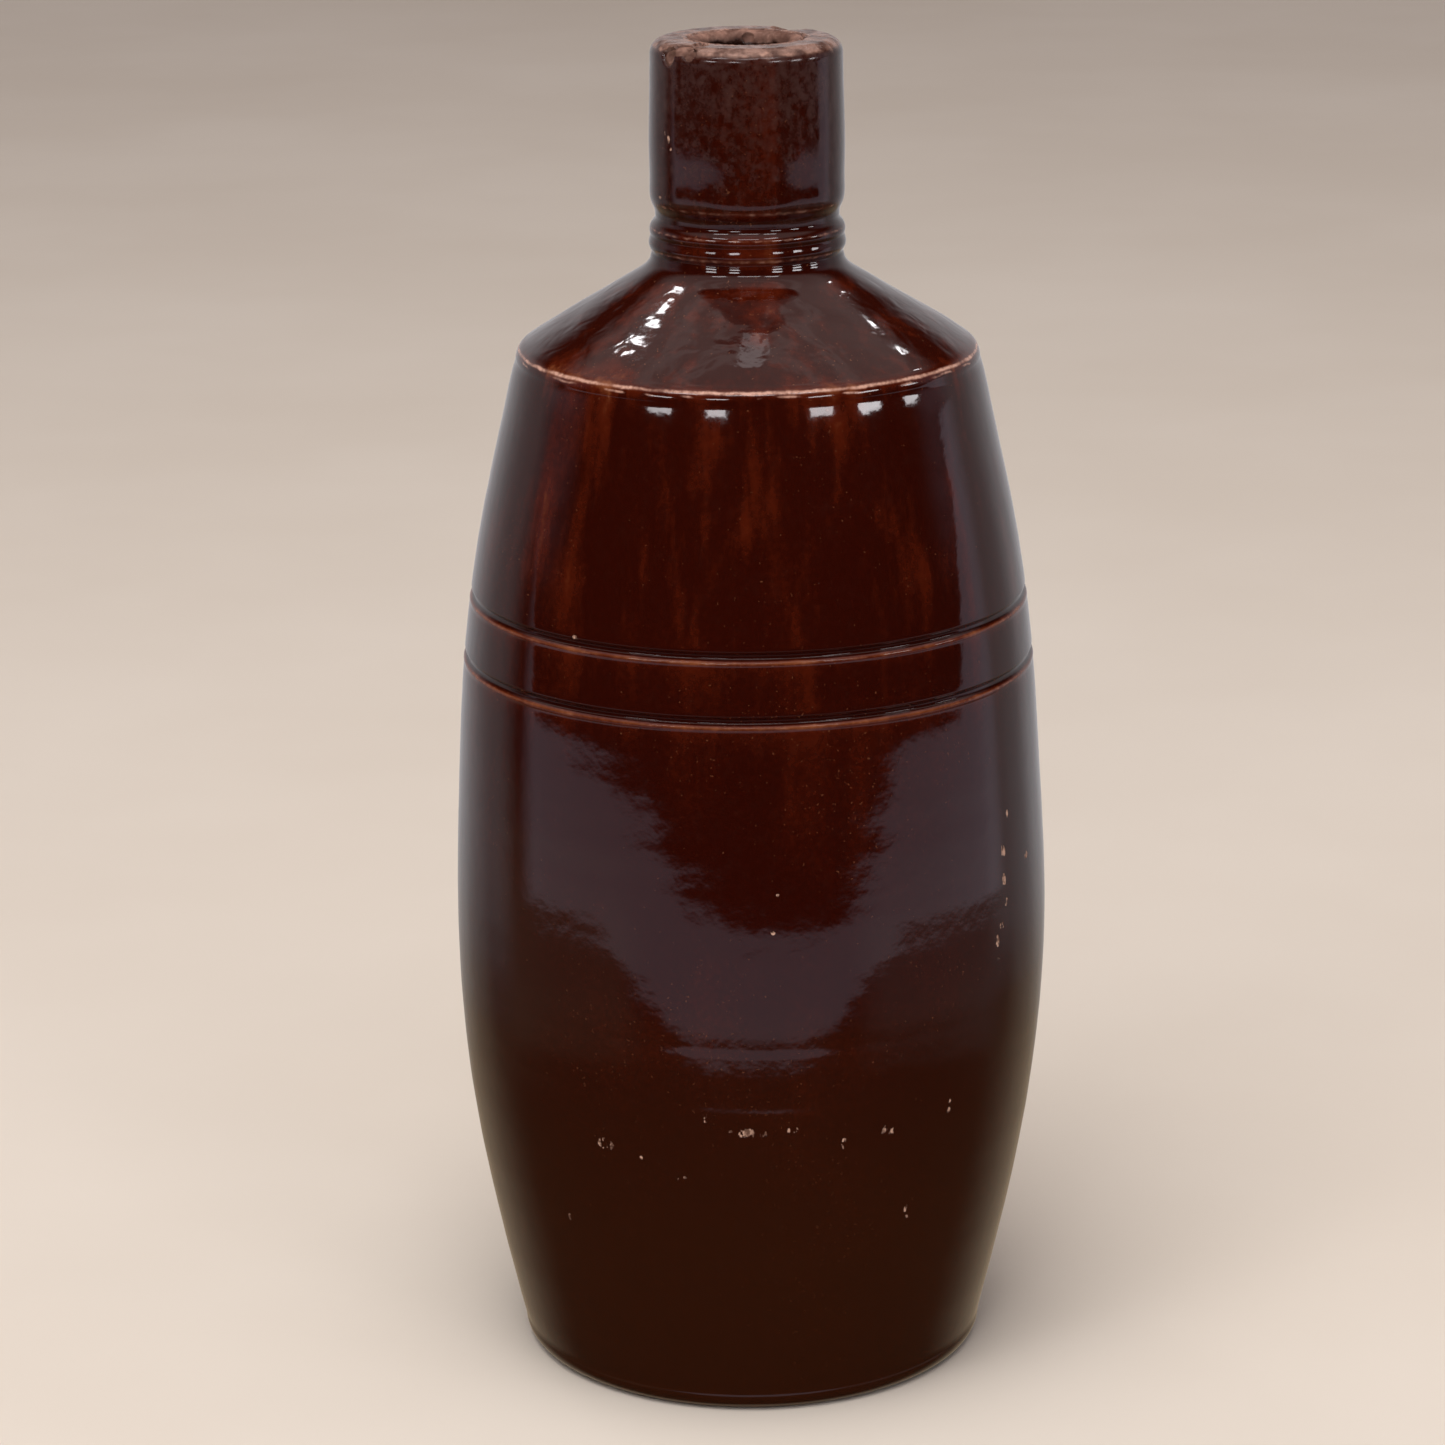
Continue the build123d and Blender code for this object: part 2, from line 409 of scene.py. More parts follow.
# (angle from the front, radius, height, radii of the ellipsoid, share downwards)
CHIPS = [
    (-46, 15.2, 231.5, (2.4, 2.0, 2.0), 1.0),
    (-54, 16.4, 229.6, (1.7, 1.4, 1.9), 0.3),
    (-37, 15.9, 230.4, (1.2, 1.2, 1.5), 0.5),
    (-40, 11.8, 231.8, (1.4, 2.4, 1.3), 2.0),
    (146, 13.6, 232.0, (3.6, 3.2, 2.2), 1.6),
    (137, 16.5, 231.6, (2.2, 2.2, 1.4), 1.2),
    (183, 16.4, 231.6, (1.1, 1.0, 0.9), 1.2),
    (-118, 16.2, 232.0, (2.8, 2.0, 1.4), 2.0),
]
MOUTH_CHIPS = [
    (178, 7.3, 229.9, (1.2, 1.3, 1.3)),
    (-30, 7.3, 231.2, (1.3, 1.2, 1.1)),
    (60, 7.4, 231.3, (1.5, 1.3, 0.9)),
]


def chipped(points, deeper, sink):
    """The collar's chips cut into points; the coat is cut wider and sunk below the clay at each chip."""
    for number, (angle, radius, height, radii, down) in enumerate(CHIPS):
        grown = tuple(r + deeper for r in radii)
        centre = rim_point(angle, radius, height)
        points = carve(points, centre, grown, inward(angle, down), 0.16, 40 + number, sink)
    for number, (angle, radius, height, radii) in enumerate(MOUTH_CHIPS):
        outward = -inward(angle, 0)
        way = outward + np.array([0, 0, -0.5])
        way = way / np.linalg.norm(way)
        points = carve(points, rim_point(angle, radius, height), radii, way, 0.12, 60 + number, sink)
    return points


def rim_roughness(points, size):
    """A worn, slightly pitted rim."""
    rng = np.random.default_rng(RNG_SEED + 20)
    waves = rng.normal(0, 1, (30, 3)) * rng.uniform(0.6, 3.2, (30, 1))
    texture = np.cos(points.reshape(-1, 3) @ waves.T + rng.uniform(0, 6.3, 30)).mean(1).reshape(points.shape[:2])
    worn = soft_step(points[..., 2], 228.5, 230.6)
    moved = points.copy()
    moved[..., 2] += size * worn * (texture - 0.25)
    return moved


# ---------------------------------------------------------------- pieces
def collar_coat(columns):
    """The collar's glaze, which runs thin and worn over the rim and ends before the mouth. A pale line round the
    rim's outer edge is partly wear and partly a painted highlight.
    """
    outer = slice_profile(OUTSIDE, COLLAR_JOIN, HEIGHT)
    top_radii = np.arange(OUTSIDE[-1, 0] - 0.2, RIM_COAT_EDGE, -0.2)
    outer = np.vstack([outer, level_run(top_radii, HEIGHT)])
    back = np.array([(RIM_COAT_EDGE, HEIGHT - 0.9), (13.4, HEIGHT - 0.9), (15.1, 229.0), (15.6, 227.5),
                     (15.85, 221.0), (15.9, 212.0), (15.8, 206.0), (15.4, 203.5), (15.0, COLLAR_JOIN)])
    profile = np.vstack([outer, back])
    outside = np.arange(len(profile))[:, None] < len(outer)

    def shape(angle, radius, height):
        ragged = 0.35 * edge_wander(angle, radius * 2)
        sink = np.where(outside, 0.7 * (1 - soft_step(radius + ragged, RIM_COAT_EDGE, RIM_COAT_EDGE + 0.7)), 0)
        return radius + uneven(angle, height), height - sink

    points = rim_roughness(chipped(lathe(profile, columns, shape), 0.2, 0.4), 0.16)
    angle = np.linspace(0, 2 * math.pi, columns, endpoint=False)[None, :]
    height = np.repeat(profile[:, 1:2], columns, 1)
    radius = np.repeat(profile[:, :1], columns, 1)
    over_rim = soft_step(height + 0.35 * edge_wander(angle, height), 229.3, 230.7)
    # painted highlight and wear: a pale line round the rim's rounded outer edge, passed on in the wear layer
    rim_edge_wear_and_highlight = bump(height, 230.1 + 0.15 * edge_wander(angle, height), 0.45) * (radius > 13.8)
    rim_edge_wear_and_highlight = rim_edge_wear_and_highlight * np.clip(0.75 + 0.6 * crest_breaks(angle, height * 2), 0, 1)
    inner_line = bump(radius, RIM_COAT_EDGE + 1.0 + 0.3 * edge_wander(angle, 0 * height), 0.3) * outside
    wear = np.clip(crest_wear(angle, height) + 0.5 * rim_edge_wear_and_highlight + 0.5 * inner_line, 0, 1)
    layers = {"wear": wear, "thin": thin_coat(angle, height), "rim": over_rim}
    last = len(outer) - 1
    sharp_rows = (0, last, last + 1, len(profile) - 1)
    return mesh_from_rows("collar_glaze_coat", points, sharp_rows=sharp_rows, layers=layers)


def collar_clay(columns):
    """The lip collar's clay with its bare rim, chips and bore."""
    outer = slice_profile(OUTSIDE, COLLAR_JOIN, OUTSIDE[-1, 1])
    below_rim = outer[:, 1] < 222
    outer = clay_under(np.vstack([outer[below_rim][::3], outer[~below_rim]]))
    flat_edge = BORE_RADIUS + MOUTH_ROUNDING
    outer = outer[outer[:, 0] > RIM[-1][0] - 0.3]
    top_radii = np.arange(RIM[-1][0] - 0.7, flat_edge, -0.2)
    top = level_run(top_radii, HEIGHT)
    bore_top = HEIGHT - MOUTH_ROUNDING
    round_over = arc([(flat_edge, HEIGHT), (BORE_RADIUS + 0.44, HEIGHT - 0.44), (BORE_RADIUS, bore_top)], 0.15)
    bore_heights = np.concatenate([np.arange(bore_top, 224, -0.25)[1:], np.arange(224, COLLAR_JOIN, -1.5)])
    bore = np.stack([np.full(len(bore_heights), BORE_RADIUS), bore_heights], -1)
    end = np.array([[BORE_RADIUS, COLLAR_JOIN]])
    profile = np.vstack([outer, top, round_over, bore, end])

    def shape(angle, radius, height):
        share = soft_step(radius, BORE_RADIUS + 1, 14)
        under_coat = soft_step(radius, RIM_COAT_EDGE - 0.3, RIM_COAT_EDGE + 0.3) * soft_step(height, 227, 230)
        return radius + share * uneven(angle, height), height - COAT_ON_RIM * under_coat

    points = rim_roughness(chipped(lathe(profile, columns, shape), 0.0, 0.0), 0.22)
    return mesh_from_rows("lip_collar_clay", points, sharp_rows=(0, len(profile) - 1))


def foot_clay(columns):
    """The floor disc with its bare foot ring, wheel marks and slightly hollow underside."""
    outer = clay_under(slice_profile(OUTSIDE, 0.0, FLOOR_JOIN))
    radii = np.arange(0.8, FOOT_FLAT[0], 0.8)
    hollow = 0.75 * (1 - soft_step(radii, 24, 36)) + 0.05 * np.cos(radii * 2.1) * (1 - soft_step(radii, 30, 35))
    under = np.stack([radii, np.maximum(hollow, 0)], -1)
    top = level_run(np.arange(outer[-1, 0] - 1.5, 0.5, -1.5), FLOOR_JOIN)
    profile = np.vstack([under, outer, top])

    def shape(angle, radius, height):
        facet = 0.5 * bump(np.cos(angle - math.radians(52)), 1, 0.12) * (1 - soft_step(height, 2, 7))
        outside = soft_step(radius, 36, 39.5)
        return radius + (uneven(angle, height) - facet) * outside, height

    points = lathe(profile, columns, shape)
    row = len(under) + len(outer) - 1
    return mesh_from_rows("foot_clay_disc", points, loop=False, sharp_rows=(row,), cap_ends=True)


# ---------------------------------------------------------------- material helpers
class Graph:
    """A small helper for building shader node trees."""

    def __init__(self, name):
        self.material = bpy.data.materials.new(name)
        self.material.use_nodes = True
        self.tree = self.material.node_tree
        self.tree.nodes.clear()
        self.output = self.tree.nodes.new("ShaderNodeOutputMaterial")
        self.shader = self.tree.nodes.new("ShaderNodeBsdfPrincipled")
        self.tree.links.new(self.shader.outputs[0], self.output.inputs[0])
        self.coordinates = self.tree.nodes.new("ShaderNodeTexCoord").outputs["Object"]

    def link(self, value, socket):
        if isinstance(value, bpy.types.NodeSocket):
            self.tree.links.new(value, socket)
        else:
            socket.default_value = value

    def math(self, operation, *values, clamp=False):
        node = self.tree.nodes.new("ShaderNodeMath")
        node.operation = operation
        node.use_clamp = clamp
        for value, socket in zip(values, node.inputs):
            self.link(value, socket)
        return node.outputs[0]

    def vector(self, operation, *values):
        node = self.tree.nodes.new("ShaderNodeVectorMath")
        node.operation = operation
        for value, socket in zip(values, node.inputs):
            self.link(value, socket)
        return node.outputs["Value" if operation in ("LENGTH", "DISTANCE") else "Vector"]

    def stretched(self, x, y, z):
        return self.vector("MULTIPLY", self.coordinates, (x, y, z))

    def noise(self, vector, scale, detail=2.0, roughness=0.5, distortion=0.0):
        node = self.tree.nodes.new("ShaderNodeTexNoise")
        self.link(vector, node.inputs["Vector"])
        node.inputs["Scale"].default_value = scale
        node.inputs["Detail"].default_value = detail
        node.inputs["Roughness"].default_value = roughness
        node.inputs["Distortion"].default_value = distortion
        return node.outputs["Fac"]

    def voronoi(self, vector, scale, randomness=1.0):
        node = self.tree.nodes.new("ShaderNodeTexVoronoi")
        self.link(vector, node.inputs["Vector"])
        node.inputs["Scale"].default_value = scale
        node.inputs["Randomness"].default_value = randomness
        return node.outputs["Distance"]

    def attribute(self, name):
        node = self.tree.nodes.new("ShaderNodeAttribute")
        node.attribute_name = name
        return node.outputs["Fac"]

    def range(self, value, low, high, to_low=0.0, to_high=1.0, smooth=True):
        node = self.tree.nodes.new("ShaderNodeMapRange")
        node.interpolation_type = "SMOOTHSTEP" if smooth else "LINEAR"
        for number, item in enumerate((value, low, high, to_low, to_high)):
            self.link(item, node.inputs[number])
        return node.outputs[0]

    def mix(self, share, first, second):
        node = self.tree.nodes.new("ShaderNodeMix")
        node.data_type = "RGBA"
        self.link(share, node.inputs["Factor"])
        self.link(first, node.inputs["A"])
        self.link(second, node.inputs["B"])
        return next(s for s in node.outputs if s.type == "RGBA")

    def height(self):
        node = self.tree.nodes.new("ShaderNodeSeparateXYZ")
        self.tree.links.new(self.coordinates, node.inputs[0])
        return node.outputs["Z"]

    def relief(self, value, depth_mm, normal=None):
        node = self.tree.nodes.new("ShaderNodeBump")
        node.inputs["Distance"].default_value = depth_mm * MM
        node.inputs["Strength"].default_value = 1.0
        self.tree.links.new(value, node.inputs["Height"])
        if normal is not None:
            self.tree.links.new(normal, node.inputs["Normal"])
        return node.outputs[0]

    def finish(self, colour, roughness, normal, **constants):
        self.link(colour, self.shader.inputs["Base Color"])
        self.link(roughness, self.shader.inputs["Roughness"])
        self.tree.links.new(normal, self.shader.inputs["Normal"])
        for name, value in constants.items():
            self.shader.inputs[name.replace("_", " ")].default_value = value
        return self.material


def rgb(red, green, blue):
    """Linear colour from 0-255 display values."""
    channels = []
    for value in (red, green, blue):
        v = value / 255
        channels.append(v / 12.92 if v <= 0.04045 else ((v + 0.055) / 1.055) ** 2.4)
    return (*channels, 1.0)


GLAZE_THICK = rgb(42, 7, 2)
GLAZE_MEDIUM = rgb(70, 20, 6)
GLAZE_THIN = rgb(122, 68, 40)
GLAZE_LOW_SHADED = rgb(47, 18, 5)
# painted shade: the darker, duller brown given to the glaze low on the barrel
GLAZE_DUST = rgb(140, 92, 64)
GREY_BLOOM = rgb(104, 82, 76)
RIM_DARK = rgb(78, 50, 40)
RIM_PALE = rgb(138, 106, 94)
# pale for worn edges, and for the painted highlight round the rim's outer edge
WORN_EDGE_AND_HIGHLIGHT = rgb(192, 148, 130)
NICK_DARK = rgb(104, 70, 54)
NICK_PALE = rgb(196, 158, 138)
CLAY_DARK = rgb(88, 60, 50)
CLAY_MEDIUM = rgb(142, 104, 90)
CLAY_PALE = rgb(178, 142, 126)
CLAY_GRIT = rgb(70, 46, 38)
CLAY_GRIME = rgb(72, 42, 32)
# painted shade for the clay at the foot
FOOT_SHADE = rgb(74, 48, 34)
BORE_DARK = rgb(34, 15, 9)

# Small losses of glaze, in groups: (angle from the front in degrees, height, half width and half height
# in mm, strength). The last three are round the back.
NICKS = [
    (-37, 137.8, 0.8, 0.8, 1.0), (14, 148.5, 0.5, 0.5, 0.7), (5, 97.5, 0.5, 0.5, 0.75),
    (4, 91.0, 0.6, 0.6, 0.9), (57.0, 97.3, 1.0, 1.8, 0.95), (56.8, 92.2, 1.0, 1.5, 0.95),
    (67.0, 94.0, 0.8, 1.0, 1.0), (55.5, 84.5, 1.1, 1.1, 0.8), (54.5, 81.0, 2.0, 3.4, 0.72),
    (59.0, 103.5, 0.5, 1.2, 0.75), (57.5, 88.0, 0.6, 1.5, 0.7), (0, 55.5, 5.0, 1.1, 0.69),
    (-9, 57.5, 1.0, 3.0, 0.63), (8, 56.0, 2.2, 1.2, 0.66), (27, 53.5, 1.6, 1.8, 0.68),
    (18, 52.5, 0.8, 1.5, 0.66), (-30, 51.0, 3.0, 1.6, 0.56), (-22, 49.5, 0.5, 0.6, 0.85),
    (-13, 46.5, 2.4, 0.8, 0.63), (33, 37.0, 0.9, 3.0, 0.66), (-41, 34.5, 0.6, 1.6, 0.9),
    (42, 55.0, 2.0, 2.5, 0.6), (-56, 216.2, 0.5, 0.8, 0.95), (-52, 215.4, 0.6, 0.9, 0.95),
    (-50, 214.0, 0.4, 0.5, 0.9), (-62, 205.5, 0.5, 0.5, 0.9), (128, 70.0, 1.6, 5.0, 0.66),
    (-150, 110.0, 2.0, 3.0, 0.62), (170, 40.0, 3.0, 2.0, 0.62),
]


def nick_mask(graph, heights):
    """1 at small losses of glaze, gathered in the groups above."""
    total = None
    for angle, height, half_width, half_height, strength in NICKS:
        if not heights[0] - half_height <= height <= heights[1] + half_height:
            continue
        radius = float(np.interp(height, OUTSIDE[:, 1], OUTSIDE[:, 0]))
        centre = rim_point(angle, radius, height) * MM
        away = graph.vector("SUBTRACT", graph.coordinates, tuple(centre))
        size = (1 / (half_width * MM), 1 / (half_width * MM), 1 / (half_height * MM))
        distance = graph.vector("LENGTH", graph.vector("MULTIPLY", away, size))
        near = graph.range(distance, 1.25, 0.35, 0.0, strength)
        total = near if total is None else graph.math("MAXIMUM", total, near)
    grain = graph.noise(graph.stretched(1, 1, 0.7), 900, 2.0, 0.6)
    shaped = graph.math("ADD", total, graph.range(grain, 0.3, 0.72, -0.5, 0.34))
    return graph.range(shaped, 0.6, 0.8)


def glaze_material(name, heights, haze):
    """Dark iron glaze over tan clay: brown-black where thick, red-orange where thin, pale on worn edges. The pale
    line round the rim's outer edge is partly a painted highlight, and the glaze low on the barrel carries painted
    shade.
    """
    g = Graph(name)
    thin = g.attribute("thin")
    wear = g.attribute("wear")
    streaks = g.noise(g.stretched(1, 1, 0.07), 110, 3.0, 0.55, 0.4)
    fine_streaks = g.noise(g.stretched(1, 1, 0.03), 330, 2.0, 0.5)
    clouds = g.noise(g.coordinates, 28, 3.0, 0.6)
    speckle = g.noise(g.coordinates, 1100, 2.0, 0.6)
    up = g.height()
    upper = g.range(up, 95 * MM, 165 * MM, 0.15, 1.0)
    upper = g.math("MULTIPLY", upper, g.range(up, 198 * MM, 206 * MM, 1.0, 0.4))
    streak_share = g.math("MULTIPLY", g.range(streaks, 0.45, 0.72, -0.02, 0.34), upper)
    fine_share = g.math("MULTIPLY", g.range(fine_streaks, 0.48, 0.72, -0.02, 0.2), upper)
    thinness = g.math("ADD", g.math("MULTIPLY", thin, 0.9), streak_share)
    thinness = g.math("ADD", thinness, fine_share)
    thinness = g.math("ADD", thinness, g.range(clouds, 0.3, 0.7, -0.1, 0.12))
    thinness = g.math("ADD", thinness, g.range(speckle, 0.35, 0.7, -0.05, 0.07), clamp=True)
    colour = g.mix(g.range(thinness, 0.0, 0.5), GLAZE_THICK, GLAZE_MEDIUM)
    colour = g.mix(g.range(thinness, 0.4, 1.0), colour, GLAZE_THIN)
    dust = g.noise(g.coordinates, 1900, 1.0, 0.5)
    dust = g.math("ADD", dust, g.range(clouds, 0.35, 0.7, -0.08, 0.01))
    colour = g.mix(g.range(dust, 0.69, 0.77, 0.0, 0.3), colour, GLAZE_DUST)
    # painted shade: the glaze is toned darker and duller towards the bottom of the barrel
    low_shade_share = g.range(up, 85 * MM, 25 * MM, 0.0, 0.8)
    colour = g.mix(low_shade_share, colour, GLAZE_LOW_SHADED)
    bloom = g.noise(g.stretched(1, 1, 0.85), 620, 6.0, 0.74)
    bloom = g.math("ADD", bloom, g.range(up, 204 * MM, 228 * MM, -0.07, 0.06))
    bloom_share = g.range(bloom, 0.38, 0.78, 0.0, haze)
    colour = g.mix(bloom_share, colour, GREY_BLOOM)
    rim = g.attribute("rim")
    mottle = g.noise(g.coordinates, 330, 4.0, 0.65)
    rim_colour = g.mix(g.range(mottle, 0.36, 0.64), RIM_DARK, RIM_PALE)
    colour = g.mix(rim, colour, rim_colour)
    worn = g.math("MULTIPLY", wear, g.range(speckle, 0.32, 0.68, 0.6, 1.12))
    worn = g.range(worn, 0.08, 0.95)
    # pale worn edges; round the rim's outer edge this pale line is partly a painted highlight
    colour = g.mix(worn, colour, WORN_EDGE_AND_HIGHLIGHT)
    nicks = nick_mask(g, heights)
    colour = g.mix(nicks, colour, g.mix(g.range(speckle, 0.4, 0.6), NICK_DARK, NICK_PALE))
    roughness = g.range(bloom, 0.35, 0.7, 0.06, 0.08 + 0.5 * haze)
    roughness = g.math("ADD", roughness, g.math("MULTIPLY", worn, 0.22))
    roughness = g.math("ADD", roughness, g.math("MULTIPLY", rim, 0.14))
    roughness = g.math("ADD", roughness, g.math("MULTIPLY", nicks, 0.5), clamp=True)
    orange_peel = g.noise(g.coordinates, 420, 2.0, 0.5)
    swell = g.noise(g.stretched(1, 1, 0.5), 75, 2.0, 0.5)
    normal = g.relief(orange_peel, 0.022)
    normal = g.relief(swell, 0.08, normal)
    on_shoulder = g.math("MULTIPLY", g.range(up, 179.5 * MM, 181 * MM), g.range(up, 192 * MM, 190 * MM))
    waves = g.math("MULTIPLY", on_shoulder, g.noise(g.coordinates, 210, 1.5, 0.45, 0.6))
    normal = g.relief(waves, 0.14, normal)
    normal = g.relief(g.math("SUBTRACT", 1.0, nicks), 0.10, normal)
    return g.finish(colour, roughness, normal, IOR=1.52)


def clay_material():
    """Bare fired stoneware: pinkish tan, darkened by handling, with painted shade towards the foot, and dark
    brown down inside the mouth.
    """
    g = Graph("bare_stoneware")
    up = g.height()
    grain = g.noise(g.coordinates, 1400, 3.0, 0.65)
    patches = g.noise(g.coordinates, 230, 4.0, 0.6)
    grit = g.voronoi(g.coordinates, 900)
    colour = g.mix(g.range(patches, 0.3, 0.7), CLAY_DARK, CLAY_MEDIUM)
    colour = g.mix(g.range(grain, 0.42, 0.72, 0.0, 0.42), colour, CLAY_PALE)
    colour = g.mix(g.range(grit, 0.22, 0.08, 0.0, 0.5), colour, CLAY_GRIT)
    grime = g.range(g.noise(g.coordinates, 150, 3.0, 0.6), 0.44, 0.66, 0.0, 0.8)
    colour = g.mix(grime, colour, CLAY_GRIME)
    # the bore is made dark brown and glossier from just below the rim downwards
    edge = g.math("ADD", up, g.range(patches, 0.2, 0.8, -0.7 * MM, 0.7 * MM))
    inside = g.range(edge, 229.7 * MM, 229.0 * MM)
    from_axis = g.vector("LENGTH", g.stretched(1, 1, 0))
    inside = g.math("MULTIPLY", inside, g.range(from_axis, 10.5 * MM, 9.2 * MM))
    inside = g.math("MULTIPLY", inside, g.range(up, 30 * MM, 60 * MM))
    colour = g.mix(inside, colour, BORE_DARK)
    # painted shade: the clay is darkened towards the foot, where it meets the floor
    foot_shade_share = g.range(up, 12 * MM, 6 * MM, 0.0, 0.55)
    colour = g.mix(foot_shade_share, colour, FOOT_SHADE)
    roughness = g.range(inside, 0.0, 1.0, 0.72, 0.22)
    normal = g.relief(grain, 0.07)
    normal = g.relief(patches, 0.12, normal)
    return g.finish(colour, roughness, normal, IOR=1.5)


def liner_material():
    """The thin dark glaze inside."""
    g = Graph("liner_brown_glaze")
    clouds = g.noise(g.coordinates, 60, 3.0, 0.6)
    rings = g.noise(g.stretched(0.2, 0.2, 1.0), 260, 2.0, 0.5)
    colour = g.mix(g.range(clouds, 0.3, 0.7), rgb(46, 20, 10), rgb(74, 36, 18))
    roughness = g.range(clouds, 0.3, 0.7, 0.15, 0.3)
    return g.finish(colour, roughness, g.relief(rings, 0.15), IOR=1.5)


def floor_material():
    g = Graph("pale_floor")
    mottling = g.noise(g.coordinates, 3.0, 4.0, 0.6)
    fibre = g.noise(g.coordinates, 350, 2.0, 0.5)
    colour = g.mix(g.range(mottling, 0.3, 0.7), rgb(214, 204, 192), rgb(220, 211, 200))
    return g.finish(colour, 0.7, g.relief(fibre, 0.02), IOR=1.4)


# ---------------------------------------------------------------- assembly
def place(piece, material, slot, *nodes):
    piece.data.materials.append(material)
    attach(piece, "root")
    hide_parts(*nodes)


body_glaze = glaze_material("brown_glaze", (0, COLLAR_JOIN), haze=0.02)
collar_glaze = glaze_material("collar_glaze", (COLLAR_JOIN, HEIGHT), haze=0.22)
clay = clay_material()

# Points round the axis. The pieces with many rows have fewer columns, to stay under 200,000 triangles.
COLUMNS = 480
LOWER_COLUMNS = 360
RIM_COAT_COLUMNS = 420
RIM_CLAY_COLUMNS = 440

place(shell("lower_glaze_coat", BARE_FOOT, GIRDLE_LOW, LOWER_COLUMNS),
      body_glaze, "brown_glaze", "glaze_lower_wall")
place(shell("upper_glaze_coat", GIRDLE_LOW, ARRIS_JOIN, COLUMNS), body_glaze, "brown_glaze", "glaze_upper_wall")
place(shell("shoulder_glaze_coat", ARRIS_JOIN, NECK_JOIN, COLUMNS), body_glaze, "brown_glaze", "glaze_shoulder")
place(shell("neck_glaze_coat", NECK_JOIN, COLLAR_JOIN, COLUMNS), body_glaze, "brown_glaze", "glaze_neck")
place(collar_coat(RIM_COAT_COLUMNS), collar_glaze, "collar_glaze", "glaze_collar")
place(collar_clay(RIM_CLAY_COLUMNS), clay, "stoneware_clay", "lip_collar")
place(foot_clay(COLUMNS), clay, "stoneware_clay", "floor_disc")

for node_name, node_material in (("lower_wall", clay), ("upper_wall", clay), ("shoulder", clay), ("neck", clay),
                                 ("glaze_liner", liner_material())):
    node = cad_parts[node_name]
    node.data.materials.clear()
    node.data.materials.append(node_material)

# ---------------------------------------------------------------- floor
bpy.ops.mesh.primitive_plane_add(size=8, location=(0, 0, 0))
floor = bpy.context.object
floor.name = "floor"
floor.data.materials.append(floor_material())
floor.visible_glossy = False  # the gloss mirrors the surround below the bottle and not this floor


# ---------------------------------------------------------------- light
def aim(light, target):
    light.rotation_mode = "QUATERNION"
    light.rotation_quaternion = (Vector(target) - light.location).to_track_quat("-Z", "Y")


def area_light(name, azimuth, elevation, distance, width, height, power, colour, glossy):
    """A rectangle of light. Azimuth 0 is the front, positive to the right; it faces the bottle."""
    data = bpy.data.lights.new(name, "AREA")
    data.shape = "RECTANGLE"
    data.size = width
    data.size_y = height
    data.energy = power
    data.color = colour
    light = bpy.data.objects.new(name, data)
    bpy.context.scene.collection.objects.link(light)
    a = math.radians(azimuth)
    e = math.radians(elevation)
    target = Vector((0, 0, 0.12))
    way = Vector((math.sin(a) * math.cos(e), -math.cos(a) * math.cos(e), math.sin(e)))
    light.location = target + distance * way
    aim(light, target)
    light.visible_camera = False
    light.visible_glossy = glossy
    return light


SOFTBOX_COLOUR = (1.0, 0.98, 0.95)
area_light("overhead_softbox", -20, 76, 1.6, 0.9, 0.9, 16, SOFTBOX_COLOUR, False)
area_light("front_softbox", -25, 48, 1.8, 1.4, 1.4, 9, SOFTBOX_COLOUR, False)

# Lamps that show as highlights in the gloss: (azimuth, elevation, width and height in metres, watts).
LAMPS = [
    (-44, 21, 0.40, 0.18, 2.1), (-15, 22, 0.38, 0.16, 2.0), (36, 21, 0.40, 0.18, 2.3), (62, 18, 0.38, 0.18, 2.6),
    (86, 14, 0.30, 0.15, 1.3), (-38, 46, 0.50, 0.12, 1.7), (2, 45, 0.70, 0.12, 1.9), (34, 47, 0.46, 0.12, 1.7),
    (-143, 52, 0.08, 0.15, 0.75), (143, 43, 0.08, 0.05, 0.28), (176, 75, 0.20, 0.16, 0.1),
]
LAMP_DISTANCE = 2.0
for number, (azimuth, elevation, width, height, power) in enumerate(LAMPS):
    area_light(f"lamp_{number}", azimuth, elevation, LAMP_DISTANCE, width, height, power, (1.0, 0.97, 1.0), True)


